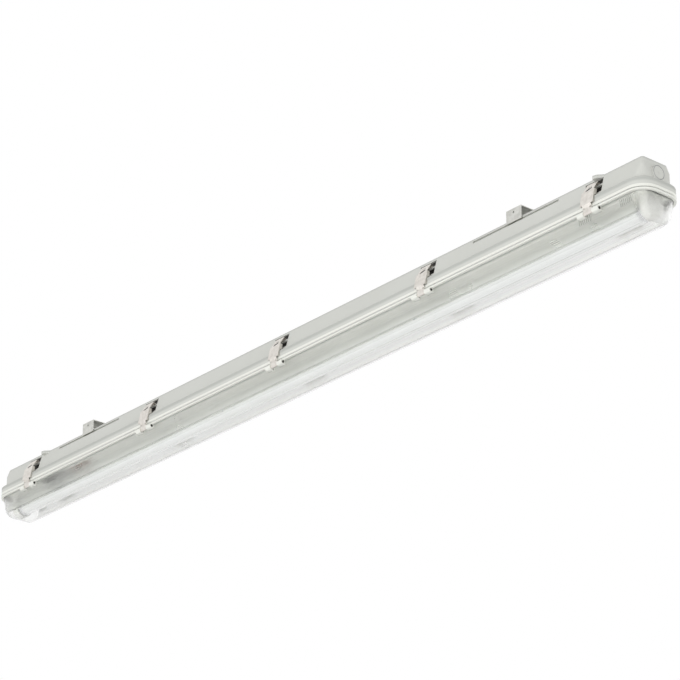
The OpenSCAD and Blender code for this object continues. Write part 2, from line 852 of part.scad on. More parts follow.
// A lead on the tray's floor along a right-angled route, with rounded corners
module lead(points) {
  last = len(points) - 1;
  for (i = [0 : last - 1]) {
    step = points[i + 1] - points[i];
    heading = step / norm(step);
    from = points[i] + heading * (i > 0 ? lead_bend : 0);
    to = points[i + 1] - heading * (i + 1 < last ? lead_bend : 0);
    translate([from[0], from[1], -lead_z])
      rotate([0, 90, atan2(heading[1], heading[0])]) cylinder(h = norm(to - from), r = lead_r);
  }
  for (i = [1 : 1 : last - 1]) {
    before = (points[i] - points[i - 1]) / norm(points[i] - points[i - 1]);
    after = (points[i + 1] - points[i]) / norm(points[i + 1] - points[i]);
    centre = points[i] + (after - before) * lead_bend;
    start = cross(before, after) > 0 ? -after : before;
    translate([centre[0], centre[1], -lead_z])
      rotate(atan2(start[1], start[0])) rotate_extrude(angle = 90)
        translate([lead_bend, 0]) circle(r = lead_r);
  }
}

// Leads from the terminal block to the driver
module supply_leads() {
  color(lead_blue) hung() for (i = [0 : 2]) {
    y = supply_near + (supply_far - supply_near) * (i + 1 / 2) / 3;
    lead([[window_x + terminal_l / 2, y], [driver_x - driver_end, y]]);
  }
}

// Two leads from each end of the driver to the lampholder at that end
module lamp_leads() {
  color(plastic_white) hung() for (side = [-1, 1], i = [0, 1]) {
    y = lane_y - i * (lead_d + lead_gap);
    x = side * (holder_face + wall + lead_d + (1 - i) * (lead_d + lead_gap));
    lead([[driver_x + side * driver_end, y], [x, y], [x, foot_hy + foot_lip]]);
  }
}

// Axles of the latches
module latch_axles(side) {
  color(steel) hung() for (i = [0 : latch_count - 1])
    translate([latch_x(i), side * axle_out, -axle_z]) rotate([0, 90, 0])
      cylinder(h = (lug_end - axle_recess) * 2, r = axle_r, center = true);
}

module latch_axles_near() {
  latch_axles(-1);
}

module latch_axles_far() {
  latch_axles(1);
}

// Sheet metal seen edge on: straight runs with round bends
module sheet_line(points, t) {
  for (i = [0 : len(points) - 2]) {
    step = points[i + 1] - points[i];
    translate([points[i][0], -points[i][1]])
      rotate(atan2(-step[1], step[0]))
        translate([0, -t / 2]) square([norm(step), t]);
  }
  for (p = points)
    translate([p[0], -p[1]]) circle(d = t);
}

// Latch: rolled eye, tongue, bulged plate with side cheeks, leaning upper plate and hook
module latch(i, side) {
  upper_tilt = atan2(plate_bend[0] - plate_top[0], plate_bend[1] - plate_top[1]);
  upper_mid = (plate_bend + plate_top) / 2;
  half = latch_w / 2;
  color(steel) hung() translate([latch_x(i), 0, 0]) rotate(side > 0 ? 180 : 0) {
    difference() {
      latch_solid(-latch_tongue_w / 2, latch_tongue_w / 2) difference() {
        union() {
          translate([axle_out, -axle_z]) circle(r = eye_in_r + latch_t);
          sheet_line([plate_foot, plate_step, plate_bulge], latch_t);
        }
        translate([axle_out, -axle_z]) circle(r = eye_in_r);
      }
      for (end = [-1, 1])
        translate([end * (latch_tongue_w / 2 - relief_w * 2 / 3), -plate_step[0], -plate_step[1]])
          cube([relief_w, latch_t * 4, relief_w / 2], center = true);
    }
    latch_solid(-half, half) sheet_line([plate_bulge, plate_bend], latch_t);
    difference() {
      latch_solid(-latch_top_w / 2, latch_top_w / 2)
        sheet_line([plate_bend, plate_top], latch_t);
      translate([0, -upper_mid[0], -upper_mid[1]]) rotate([-upper_tilt, 0, 0])
        cube([pry_slot_l, latch_t * 4, pry_slot_w], center = true);
    }
    latch_solid(-latch_tongue_w / 2, latch_tongue_w / 2)
      sheet_line([plate_top, hook_back, hook_tip], latch_t);
    for (end = [-half, half - latch_t])
      latch_solid(end, end + latch_t) cheek_section();
  }
}

// Side cheek between the plate and the flange
module cheek_section() {
  room = latch_room * 7 / 10;
  polygon([
    [plate_bulge[0], -plate_bulge[1]],
    [flange_w / 2 + room, -plate_bulge[1]],
    [flange_w / 2 + room, -body_h - shoulder_h],
    [flange_w / 2 - shoulder_bevel + room, -body_h - shoulder_bevel + room],
    [plate_bend[0] - latch_w / 6, -body_h + latch_room],
    [plate_bend[0] - latch_w / 5, -plate_bend[1]],
    [plate_bend[0] - latch_t / 2, -plate_bend[1] + latch_t],
    [plate_bend[0], -plate_bend[1]]
  ]);
}

// Ceiling bracket: top plate, two legs and the feet that run in the grooves
module bracket(x) {
  half = bracket_span / 2 - bracket_t / 2;
  foot_mid = foot_top + bracket_t / 2;
  color(steel) hung() translate([x, 0, 0]) difference() {
    along_x(-bracket_w / 2, bracket_w / 2)
      sheet_line([
        [-foot_tip, foot_mid], [-half, foot_mid],
        [-half, -bracket_rise + bracket_t / 2], [half, -bracket_rise + bracket_t / 2],
        [half, foot_mid], [foot_tip, foot_mid]
      ], bracket_t);
    translate([0, 0, bracket_rise - bracket_t - over])
      cylinder(h = bracket_t + over * 2, d = screw_hole_d);
    translate([0, 0, bracket_rise - leg_hole_drop]) rotate([90, 0, 0])
      cylinder(h = bracket_span + over * 2, d = leg_hole_d, center = true);
  }
}

module bracket_left() {
  bracket(-bracket_x);
}

module bracket_right() {
  bracket(bracket_x);
}

// Turning centre of a lampholder: its slot lies level and opens towards the near side
module rotor() {
  hung() translate([holder_face, 0, -lamp_drop]) difference() {
    rotate([0, 90, 0]) cylinder(h = rotor_t, r = rotor_r);
    depth_box(
      [-over, rotor_t + over], [-rotor_d, rotor_r * 3 / 4], [-rotor_slot / 2, rotor_slot / 2]);
  }
}

module rotor_left() {
  color(plastic_white) mirror([1, 0, 0]) rotor();
}

module rotor_right() {
  color(plastic_white) rotor();
}

// Lamp: glass, caps and pins
module lamp_tube() {
  color(lamp_white) hung() translate([0, 0, -lamp_drop]) rotate([0, 90, 0]) difference() {
    cylinder(h = (cap_end - contact_t * 2) * 2, r = lamp_r - contact_t / 2, center = true);
    cylinder(h = lamp_l, r = lamp_r - contact_t / 2 - glass_t, center = true);
  }
}

module lamp_cap() {
  hung() translate([cap_end - cap_l, 0, -lamp_drop]) rotate([0, 90, 0]) difference() {
    cylinder(h = cap_l, r = lamp_r);
    translate([0, 0, -over]) cylinder(h = cap_l - contact_t * 2 + over, r = lamp_r - contact_t / 2);
  }
}

module lamp_cap_left() {
  color(steel) rotate(180) lamp_cap();
}

module lamp_cap_right() {
  color(steel) lamp_cap();
}

module lamp_pins() {
  color(brass) hung() for (side = [0, 1], end = [-1, 1])
    rotate(180 * side) translate([cap_end, end * pin_pitch / 2, -lamp_drop])
      rotate([0, 90, 0]) cylinder(h = pin_l, d = pin_d);
}

housing();
seal();
diffuser();
gear_tray();
tray_fixings();
driver();
driver_screws();
terminal_block();
terminal_screws();
earth_tag();
lampholder_left();
lampholder_right();
holder_contacts();
supply_leads();
lamp_leads();
latch_axles_near();
latch_axles_far();
bracket_left();
bracket_right();
rotor_left();
rotor_right();
lamp_tube();
lamp_cap_left();
lamp_cap_right();
lamp_pins();
latch(0, -1);  // latch_near_1
latch(1, -1);  // latch_near_2
latch(2, -1);  // latch_near_3
latch(3, -1);  // latch_near_4
latch(4, -1);  // latch_near_5
latch(0, 1);  // latch_far_1
latch(1, 1);  // latch_far_2
latch(2, 1);  // latch_far_3
latch(3, 1);  // latch_far_4
latch(4, 1);  // latch_far_5
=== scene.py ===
# %% [markdown]
# # A vapour-tight light fitting for one long tube
# A grey plastic housing hangs from two spring-steel brackets. Ten steel latches press a
# clear ribbed cover against its seal, and a white tray, a driver and the lamp sit inside.
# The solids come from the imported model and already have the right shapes, so this lesson
# mostly gives them finishes, and adds the small things that a moulded and pressed product
# shows from nearby.

# %% Load the model
import math
import json

import bmesh
import bpy
from mathutils import Matrix, Vector

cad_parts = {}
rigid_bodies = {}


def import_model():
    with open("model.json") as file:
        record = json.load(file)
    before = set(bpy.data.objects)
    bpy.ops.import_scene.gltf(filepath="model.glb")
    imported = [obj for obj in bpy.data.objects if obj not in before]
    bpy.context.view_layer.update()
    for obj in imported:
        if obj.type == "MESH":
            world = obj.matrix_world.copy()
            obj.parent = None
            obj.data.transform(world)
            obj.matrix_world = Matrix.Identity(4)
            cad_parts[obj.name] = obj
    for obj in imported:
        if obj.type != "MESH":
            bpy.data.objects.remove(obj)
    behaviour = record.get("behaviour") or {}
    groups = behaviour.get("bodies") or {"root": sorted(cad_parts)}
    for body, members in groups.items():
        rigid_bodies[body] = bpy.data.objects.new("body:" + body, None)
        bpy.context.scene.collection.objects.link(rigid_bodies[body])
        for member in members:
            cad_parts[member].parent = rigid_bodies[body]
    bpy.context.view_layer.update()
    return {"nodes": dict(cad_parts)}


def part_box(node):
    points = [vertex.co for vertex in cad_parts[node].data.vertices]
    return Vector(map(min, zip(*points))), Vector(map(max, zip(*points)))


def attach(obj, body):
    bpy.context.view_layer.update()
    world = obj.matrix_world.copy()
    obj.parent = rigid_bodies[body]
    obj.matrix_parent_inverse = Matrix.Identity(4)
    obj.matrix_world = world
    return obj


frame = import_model()
nodes = frame["nodes"]

# %% [markdown]
# ## The camera
# The photograph was taken from below with a long lens, about four metres away. The edges
# of a long straight product give its angle very well: the lens, place and turn below were
# fitted to the lines of the housing's top, its flange and the foot of the cover.

# %% Camera
LENS = 135.85
CAMERA_PLACE = Vector((2.8385, -2.3187, -1.6585))
LOOK = Vector((-0.69577, 0.59074, 0.40856))
UP = Vector((0.31301, -0.26259, 0.91273))

camera = bpy.data.objects.new("camera", bpy.data.cameras.new("camera"))
bpy.context.scene.collection.objects.link(camera)
camera.data.sensor_width = 36
camera.data.lens = LENS
camera.data.clip_start, camera.data.clip_end = 0.1, 100
turn = Matrix((LOOK.cross(UP), UP, -LOOK)).transposed()
camera.matrix_world = Matrix.Translation(CAMERA_PLACE) @ turn.to_4x4()
bpy.context.scene.camera = camera
print("camera distance:", round(CAMERA_PLACE.length, 3), "m")

# %% [markdown]
# ## A small vocabulary for node trees
# Blender builds a shader from nodes and links. One helper adds a node and fills or links
# its inputs. The next ones calculate, mask and blend, and the last opens a group with named
# sockets. All of them come back in many cells, so the trees below stay short.


# %% Node helpers
def tone(red, green, blue, alpha=1.0):
    """A colour as seen on a screen (0 to 255), turned into the linear one that Blender uses."""
    def line(v):
        v = v / 255
        return v / 12.92 if v <= 0.04045 else ((v + 0.055) / 1.055) ** 2.4
    return (line(red), line(green), line(blue), alpha)


def node(tree, kind, inputs=None, **settings):
    """Adds a node, sets its options, and links or fills its inputs by name or number."""
    new = tree.nodes.new(kind)
    for key, value in settings.items():
        setattr(new, key, value)
    for key, value in (inputs or {}).items():
        if isinstance(value, bpy.types.NodeSocket):
            tree.links.new(value, new.inputs[key])
        else:
            new.inputs[key].default_value = value
    return new


def place_on(tree):
    """The place of a point on its object, in metres."""
    return node(tree, "ShaderNodeTexCoord").outputs["Object"]


def calculate(tree, operation, *values):
    """The result of a Math node on sockets or numbers."""
    return node(tree, "ShaderNodeMath", dict(enumerate(values)), operation=operation).outputs[0]


def stretch(tree, value, start, stop, low=0.0, high=1.0, shape="LINEAR"):
    """Maps start to stop onto low to high, and holds the ends beyond them."""
    return node(tree, "ShaderNodeMapRange", {
        "Value": value, "From Min": start, "From Max": stop, "To Min": low, "To Max": high},
        interpolation_type=shape).outputs[0]


def zone(tree, value, start, stop, high=1.0):
    """A smooth mask that is 0 at start and high at stop."""
    return stretch(tree, value, start, stop, high=high, shape="SMOOTHSTEP")


def blend(tree, factor, first, second):
    """Goes from one number to another."""
    return node(tree, "ShaderNodeMix", {0: factor, 2: first, 3: second},
                data_type="FLOAT").outputs[0]


def tint(tree, factor, first, second):
    """Goes from one colour to another."""
    return node(tree, "ShaderNodeMix", {0: factor, 6: first, 7: second},
                data_type="RGBA").outputs[2]


def open_group(name, inputs, outputs):
    """A shader group with named inputs (label, type, value) and outputs (label, type)."""
    tree = bpy.data.node_groups.new(name, "ShaderNodeTree")
    for label, kind, value in inputs:
        socket = tree.interface.new_socket(name=label, in_out="INPUT", socket_type=kind)
        socket.default_value = value
    for label, kind in outputs:
        tree.interface.new_socket(name=label, in_out="OUTPUT", socket_type=kind)
    return tree, tree.nodes.new("NodeGroupInput").outputs, tree.nodes.new("NodeGroupOutput")


FLOAT, COLOUR, VECTOR = "NodeSocketFloat", "NodeSocketColor", "NodeSocketVector"
WHITE = (1, 1, 1, 1)
NOISE_SPAN = (0.3, 0.7)

# %% [markdown]
# ## Effects that several finishes share
# A moulded or painted face is never one flat value. Its tone drifts slowly over tens of
# centimetres, it carries a fine skin from the mould or lines from rolling, and its edges
# are a little rounded and rubbed. Each of these is one shader group with its own sizes, so
# that every material can place it with other numbers. A Bevel node finds the edges by
# looking at the surface around a point, which also works where a mesh has no rounded edge.

# %% Shared effect: slow drift of the tone
tree, given, result = open_group(
    "tone_drift",
    [("Color", COLOUR, (0.8, 0.8, 0.8, 1)), ("Other", COLOUR, (0.7, 0.7, 0.7, 1)),
     ("Scale", FLOAT, 12.0), ("Amount", FLOAT, 0.5)],
    [("Color", COLOUR), ("Mask", FLOAT)])
cloud = node(tree, "ShaderNodeTexNoise", {
    "Vector": place_on(tree), "Scale": given["Scale"], "Detail": 3.0, "Roughness": 0.55})
spread = stretch(tree, cloud.outputs[0], 0.35, 0.65, high=given["Amount"])
tree.links.new(tint(tree, spread, given["Color"], given["Other"]), result.inputs["Color"])
tree.links.new(spread, result.inputs["Mask"])
tone_drift = tree

# %% Shared effect: the fine skin of a mould
tree, given, result = open_group(
    "mould_skin", [("Size", FLOAT, 900.0), ("Pits", FLOAT, 0.5)],
    [("Height", FLOAT), ("Mask", FLOAT)])
place = place_on(tree)
grain = node(tree, "ShaderNodeTexNoise", {
    "Vector": place, "Scale": given["Size"], "Detail": 2.0, "Roughness": 0.6}).outputs[0]
pits = node(tree, "ShaderNodeTexVoronoi", {"Vector": place, "Scale": given["Size"]}).outputs[0]
tree.links.new(blend(tree, given["Pits"], grain, pits), result.inputs["Height"])
tree.links.new(grain, result.inputs["Mask"])
mould_skin = tree

# %% Shared effect: softened and rubbed edges
tree, given, result = open_group(
    "soft_edges", [("Radius", FLOAT, 0.0006)], [("Normal", VECTOR), ("Edge", FLOAT)])
rounded = node(tree, "ShaderNodeBevel", {"Radius": given["Radius"]}, samples=4)
facing = node(tree, "ShaderNodeNewGeometry").outputs["True Normal"]
same = node(tree, "ShaderNodeVectorMath", {0: rounded.outputs[0], 1: facing},
            operation="DOT_PRODUCT")
tree.links.new(rounded.outputs[0], result.inputs["Normal"])
tree.links.new(stretch(tree, same.outputs["Value"], 0.98, 0.80), result.inputs["Edge"])
soft_edges = tree

# %% Shared effect: rolling and brushing lines in sheet metal
tree, given, result = open_group(
    "brushed_lines",
    [("Along", VECTOR, (4.0, 900.0, 900.0)), ("Clouds", FLOAT, 60.0)],
    [("Lines", FLOAT), ("Clouds", FLOAT)])
place = place_on(tree)
drawn = node(tree, "ShaderNodeVectorMath", {0: place, 1: given["Along"]}, operation="MULTIPLY")
lines = node(tree, "ShaderNodeTexNoise", {
    "Vector": drawn.outputs[0], "Scale": 1.0, "Detail": 4.0, "Roughness": 0.65})
clouds = node(tree, "ShaderNodeTexNoise", {
    "Vector": place, "Scale": given["Clouds"], "Detail": 3.0})
tree.links.new(lines.outputs[0], result.inputs["Lines"])
tree.links.new(clouds.outputs[0], result.inputs["Clouds"])
brushed_lines = tree
print("effects:", [g.name for g in bpy.data.node_groups])

# %% [markdown]
# ## The room around the object
# The photograph has a white background, and its light is soft and comes from all sides, a
# little more from below. The world gives matt surfaces that level, brighter below than
# above, and a pure white to the eye, to reflections and to what is seen through the cover.
# Light Path tells these rays apart, so the background can be white without washing out the
# product.

# %% World
LIGHT_BELOW, LIGHT_ABOVE = 1.62, 0.40
world = bpy.data.worlds.new("studio")
bpy.context.scene.world = world
world.use_nodes = True
tree = world.node_tree
tree.nodes.clear()
rays = node(tree, "ShaderNodeLightPath").outputs
seen = calculate(tree, "MAXIMUM", rays["Is Camera Ray"], rays["Is Glossy Ray"])
shown = calculate(tree, "MAXIMUM", seen, rays["Is Transmission Ray"])
height = node(tree, "ShaderNodeSeparateXYZ", {
    0: node(tree, "ShaderNodeTexCoord").outputs["Generated"]}).outputs["Z"]
amount = stretch(tree, height, -1.0, 1.0, LIGHT_BELOW, LIGHT_ABOVE)
soft = node(tree, "ShaderNodeCombineColor", {0: amount, 1: amount, 2: amount}).outputs[0]
sky = node(tree, "ShaderNodeBackground", {
    "Color": tint(tree, shown, soft, WHITE), "Strength": 1.0})
node(tree, "ShaderNodeOutputWorld", {"Surface": sky.outputs[0]})
bpy.context.scene.view_settings.view_transform = "Standard"

# %% [markdown]
# ## Light
# Three wide soft boxes shape the product: a key that faces the near end, so that the end
# wall is a little lighter than the long side, a fill from low in front, which lights the
# underside of the cover, and a weak strip behind, which draws the rims.


# %% Soft boxes
def soft_box(name, place, width, height, watts):
    """A wide area light that looks at the middle of the object."""
    data = bpy.data.lights.new(name, "AREA")
    data.shape, data.size, data.size_y, data.energy = "RECTANGLE", width, height, watts
    lamp = bpy.data.objects.new(name, data)
    bpy.context.scene.collection.objects.link(lamp)
    lamp.location = place
    lamp.rotation_mode = "QUATERNION"
    lamp.rotation_quaternion = (-Vector(place)).to_track_quat("-Z", "Y")


soft_box("key", (3.6, -1.6, -1.0), 3.2, 3.2, 19)
soft_box("fill", (0.7, -3.6, -1.2), 5.0, 3.0, 53)
soft_box("rim", (0.6, 3.2, 0.8), 4.0, 1.6, 20)

# %% [markdown]
# ## The floor
# A light fitting of this kind hangs high up, so the floor lies far below it. It is a plain
# pale sheet with a faint speckle, and it isn't part of the object. The clear cover and the
# metal see it as white as the world, which Light Path arranges. A faint glow of its own
# keeps it pale at this distance from the lights.

# %% Floor
FLOOR_Z, FLOOR_HALF, FLOOR_GLOW = -8.0, 40, 0.16
floor_mesh = bpy.data.meshes.new("floor")
floor_mesh.from_pydata(
    [(x * FLOOR_HALF, y * FLOOR_HALF, FLOOR_Z) for x, y in ((-1, -1), (1, -1), (1, 1), (-1, 1))],
    [], [(0, 1, 2, 3)])
floor = bpy.data.objects.new("floor", floor_mesh)
bpy.context.scene.collection.objects.link(floor)
floor_finish = bpy.data.materials.new("pale_floor")
floor_finish.use_nodes = True
tree = floor_finish.node_tree
tree.nodes.clear()
speckle = node(tree, "ShaderNodeTexNoise", {
    "Vector": place_on(tree), "Scale": 3.0, "Detail": 6.0})
matt = node(tree, "ShaderNodeBsdfPrincipled", {
    "Base Color": stretch(tree, speckle.outputs[0], 0.0, 1.0, 0.80, 0.84), "Roughness": 0.9,
    "Emission Color": WHITE, "Emission Strength": FLOOR_GLOW})
rays = node(tree, "ShaderNodeLightPath").outputs
mirrored = calculate(tree, "MAXIMUM", rays["Is Glossy Ray"], rays["Is Transmission Ray"])
white = node(tree, "ShaderNodeEmission", {"Strength": 1.0})
either = node(tree, "ShaderNodeMixShader", {
    0: mirrored, 1: matt.outputs[0], 2: white.outputs[0]})
node(tree, "ShaderNodeOutputMaterial", {"Surface": either.outputs[0]})
floor.data.materials.append(floor_finish)

# %% [markdown]
# ## Finishes
# Every finish starts from one Principled shader. The helper joins it with the shared
# effects: the tone drifts between two colours, edges catch a third one, and a Bump node
# adds the skin on top of the softened normal. Whatever is the same all over a surface, such
# as a coat, is set on the shader's own socket.


# %% A helper for solid finishes
def finish(name, colour, other, rubbed, drift=12.0, amount=0.6, roughness=(0.35, 0.5),
           skin=900.0, pits=0.4, depth=0.00004, radius=0.0006, metal=0.0, coat=0.0,
           coat_rough=0.1, shine=0.5, glow=0.0, along=None):
    """A plastic, paint or metal with drift, skin and edges. Sizes are in metres."""
    made = bpy.data.materials.new(name)
    made.use_nodes = True
    tree = made.node_tree
    tree.nodes.clear()
    drifted = node(tree, "ShaderNodeGroup", {
        "Color": colour, "Other": other, "Scale": drift, "Amount": amount}, node_tree=tone_drift)
    edges = node(tree, "ShaderNodeGroup", {"Radius": radius}, node_tree=soft_edges)
    worn = tint(tree, edges.outputs["Edge"], drifted.outputs["Color"], rubbed)
    if along:
        surface = node(tree, "ShaderNodeGroup", {"Along": along}, node_tree=brushed_lines)
        height, mask = surface.outputs["Lines"], surface.outputs["Clouds"]
    else:
        surface = node(tree, "ShaderNodeGroup", {"Size": skin, "Pits": pits},
                       node_tree=mould_skin)
        height, mask = surface.outputs["Height"], surface.outputs["Mask"]
    relief = node(tree, "ShaderNodeBump", {
        "Height": height, "Strength": 1.0, "Distance": depth, "Normal": edges.outputs["Normal"]})
    # The emission is a painted glow; only the rim finish sets it above zero.
    shader = node(tree, "ShaderNodeBsdfPrincipled", {
        "Base Color": worn, "Roughness": stretch(tree, mask, *NOISE_SPAN, *roughness),
        "Normal": relief.outputs[0], "Metallic": metal,
        "Coat Weight": coat, "Coat Roughness": coat_rough, "Specular IOR Level": shine,
        "Emission Color": colour, "Emission Strength": glow})
    node(tree, "ShaderNodeOutputMaterial", {"Surface": shader.outputs[0]})
    return made


# %% [markdown]
# ### Moulded plastics
# The housing is a light grey polycarbonate with a satin skin. The seal is a foam, which is
# matt and full of tiny pits. Fixings, lampholders and the terminal block are white. A
# painted shade darkens the housing in the hollow above the flange and along the top edge.
# Both are masks on the height, mixed in before the shader's colour, so the skin stays as it is.

# %% Plastics
HOUSING_LOW, HOUSING_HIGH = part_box("housing")
# Painted shade: the hollow above the flange and the top edge are darkened in the colour.
HOLLOW_Z = HOUSING_LOW.z + 0.0100
HOUSING_SHADE_REACH, HOUSING_SHADE_AT_TOP, HOUSING_SHADE_TONE = 0.0050, 0.8, tone(184, 186, 181)
housing_plastic = finish(
    "housing_plastic", tone(210, 211, 206), tone(205, 206, 200), tone(219, 219, 215),
    drift=7.0, roughness=(0.54, 0.66), skin=1400.0, pits=0.3, depth=0.00003, shine=0.22)
tree = housing_plastic.node_tree
spot = node(tree, "ShaderNodeSeparateXYZ", {0: place_on(tree)}).outputs["Z"]
from_hollow = calculate(tree, "ABSOLUTE", calculate(tree, "SUBTRACT", spot, HOLLOW_Z))
in_hollow = zone(tree, from_hollow, HOUSING_SHADE_REACH, 0.0)
at_top = zone(tree, spot, HOUSING_HIGH.z - HOUSING_SHADE_REACH, HOUSING_HIGH.z, HOUSING_SHADE_AT_TOP)
housing_painted_shade = calculate(tree, "MAXIMUM", in_hollow, at_top)
shader = next(n for n in tree.nodes if n.type == "BSDF_PRINCIPLED")
bare = shader.inputs["Base Color"].links[0].from_socket
tree.links.new(tint(tree, housing_painted_shade, bare, HOUSING_SHADE_TONE), shader.inputs["Base Color"])
foam_seal = finish(
    "foam_seal", tone(158, 160, 160), tone(146, 148, 149), tone(166, 167, 167),
    drift=60.0, roughness=(0.85, 0.95), skin=2600.0, pits=0.9, depth=0.0002)
white_plastic = finish(
    "white_plastic", tone(232, 232, 228), tone(224, 225, 221), tone(242, 242, 240),
    drift=40.0, roughness=(0.30, 0.40), skin=2000.0, depth=0.00002, radius=0.0004)
rotor_plastic = finish(
    "rotor_plastic", tone(206, 207, 203), tone(194, 195, 192), tone(222, 222, 220),
    drift=60.0, roughness=(0.35, 0.45), skin=2000.0, depth=0.00002, radius=0.0004)

# %% [markdown]
# ### Painted, plated and bare metal
# The tray and driver are steel sheet under a smooth white paint with a slight orange peel.
# Latches and brackets are bare spring steel with rolling lines along the strip. Their
# axles are blackened, and the same dark steel is painted shade in the pockets behind the
# latches and in the latch slots. Screws are zinc plated, and the earth tag and lamp
# contacts are brass.

# %% Metals
tray_paint = finish(
    "tray_paint", tone(246, 247, 240), tone(240, 241, 233), tone(250, 250, 247),
    drift=5.0, roughness=(0.28, 0.38), skin=420.0, pits=0.2, depth=0.00005, radius=0.0005)
driver_case = finish(
    "driver_case", tone(222, 223, 220), tone(212, 214, 211), tone(236, 236, 234),
    drift=20.0, roughness=(0.35, 0.45), skin=700.0, pits=0.2, depth=0.00003)
stainless = finish(
    "stainless", tone(229, 225, 219), tone(206, 201, 194), tone(243, 240, 235),
    drift=160.0, amount=0.7, roughness=(0.36, 0.50), depth=0.000012, radius=0.0005,
    metal=1.0, along=(30.0, 1800.0, 60.0))
bracket_steel = finish(
    "bracket_steel", tone(216, 216, 211), tone(190, 190, 185), tone(238, 238, 234),
    drift=120.0, amount=0.7, roughness=(0.40, 0.54), depth=0.000012, radius=0.0005,
    metal=1.0, along=(60.0, 30.0, 1800.0))
zinc_steel = finish(
    "zinc_steel", tone(206, 207, 210), tone(180, 182, 184), tone(232, 232, 236),
    drift=300.0, amount=0.8, roughness=(0.22, 0.42), depth=0.00001, radius=0.0003,
    metal=1.0, along=(400.0, 400.0, 1500.0))
# Blackened steel of the axles, also used as painted shade in the pockets and slots.
dark_steel = finish(
    "dark_steel", tone(54, 52, 48), tone(38, 37, 34), tone(96, 94, 90),
    drift=120.0, roughness=(0.46, 0.60), depth=0.00001, radius=0.0003,
    metal=0.4, along=(60.0, 60.0, 1500.0))
brass_parts = finish(
    "brass_parts", tone(206, 176, 112), tone(176, 142, 82), tone(232, 210, 152),
    drift=300.0, amount=0.8, roughness=(0.22, 0.42), depth=0.00001, radius=0.0003,
    metal=1.0, along=(400.0, 1500.0, 400.0))
lamp_cap_metal = finish(
    "lamp_cap_metal", tone(220, 221, 222), tone(204, 205, 207), tone(240, 240, 242),
    drift=200.0, roughness=(0.22, 0.36), depth=0.00001, radius=0.0005,
    metal=1.0, along=(1500.0, 60.0, 60.0))

# %% [markdown]
# ### Wires
# Wire insulation is a soft plastic with a slight gloss, drawn through a die, so its lines
# run along the wire.

# %% Wire insulation
lead_insulation = finish(
    "lead_insulation", tone(120, 84, 62), tone(104, 72, 54), tone(140, 104, 82),
    drift=80.0, roughness=(0.40, 0.52), depth=0.00002, radius=0.0002, along=(40.0, 2500.0, 2500.0))
white_lead_insulation = finish(
    "white_lead_insulation", tone(228, 228, 224), tone(216, 216, 212), tone(238, 238, 236),
    drift=80.0, roughness=(0.40, 0.52), depth=0.00002, radius=0.0002, along=(40.0, 2500.0, 2500.0))

# %% [markdown]
# ### The lamp
# The tube is clear glass with a white powder on its inside. From outside that is a white
# body under a hard clear coat, so the coat sits on the shader's own socket. The powder's
# thickness varies slowly along the tube, which the drift of the tone shows.

# %% Lamp glass
lamp_glass = finish(
    "lamp_glass", tone(236, 237, 236), tone(229, 231, 231), tone(238, 239, 239),
    drift=9.0, amount=0.5, roughness=(0.22, 0.28), skin=500.0, pits=0.0, depth=0.00001,
    radius=0.0002, coat=1.0, coat_rough=0.04)

# %% [markdown]
# ### The clear cover
# The cover is injection-moulded polycarbonate. Glass is made here by the transmission of
# the Principled shader, and the ribs inside are real geometry, which bend the light. The
# roughness changes over the surface: the ribbed wall is hazy and melts what is behind it,
# the floor below the ribs is clear, the end walls are hazy too, and the thick rim is
# frosted. Round the corner, where the ribs hold back a part of the light, the colour is a
# painted shade, and the foot of the ribs is a thin painted dark line. Fine streaks run
# along the cover. Each zone is a mask on the height or the length. Rays from the lights
# pass straight through, by a Transparent shader on shadow rays, because sampled light
# can't follow a bent path.

# %% Clear cover
AXLE_Y, AXLE_Z = (sum(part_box("latch_axles_near"), Vector()) / 2)[1:]
AXLE_DROP, RIBBED_HEIGHT, END_WALL = 0.0028, 0.0266, 0.768
RIM_FOOT = AXLE_Z + AXLE_DROP
RIB_FOOT = RIM_FOOT - RIBBED_HEIGHT
SIDE_FULL, SIDE_GONE = END_WALL - 0.012, END_WALL - 0.008
END_GONE, END_FULL = END_WALL - 0.012, END_WALL - 0.006
RIM_BLUR, RIB_BLUR = 0.0002, 0.0003
CORNER_LOW, CORNER_HIGH = RIB_FOOT + 0.0060, RIB_FOOT + 0.0140
LINE_HALF, LINE_FADE = 0.0003, 0.0008
CLEAR_ROUGH, HAZY_ROUGH, END_ROUGH, RIM_ROUGH = 0.01, (0.27, 0.33), 0.34, 0.42
COVER_IOR = 1.38
clear_cover = bpy.data.materials.new("clear_cover")
clear_cover.use_nodes = True
tree = clear_cover.node_tree
tree.nodes.clear()
place = node(tree, "ShaderNodeSeparateXYZ", {0: place_on(tree)}).outputs
along_x = calculate(tree, "ABSOLUTE", place["X"])
rim = zone(tree, place["Z"], RIM_FOOT - RIM_BLUR, RIM_FOOT + RIM_BLUR)
end = zone(tree, along_x, END_GONE, END_FULL)
above = zone(tree, place["Z"], RIB_FOOT - RIB_BLUR, RIB_FOOT + RIB_BLUR)
long_side = zone(tree, along_x, SIDE_GONE, SIDE_FULL)
ribbed = calculate(tree, "MULTIPLY", above, long_side)
# Painted shade: the foot of the ribbed wall and a thin line at the rib foot are darker.
painted_corner_shade = calculate(tree, "MULTIPLY", ribbed, zone(tree, place["Z"], CORNER_HIGH, CORNER_LOW))
off_line = calculate(tree, "ABSOLUTE", calculate(tree, "SUBTRACT", place["Z"], RIB_FOOT))
painted_dark_line = calculate(tree, "MULTIPLY", zone(tree, off_line, LINE_FADE, LINE_HALF), long_side)

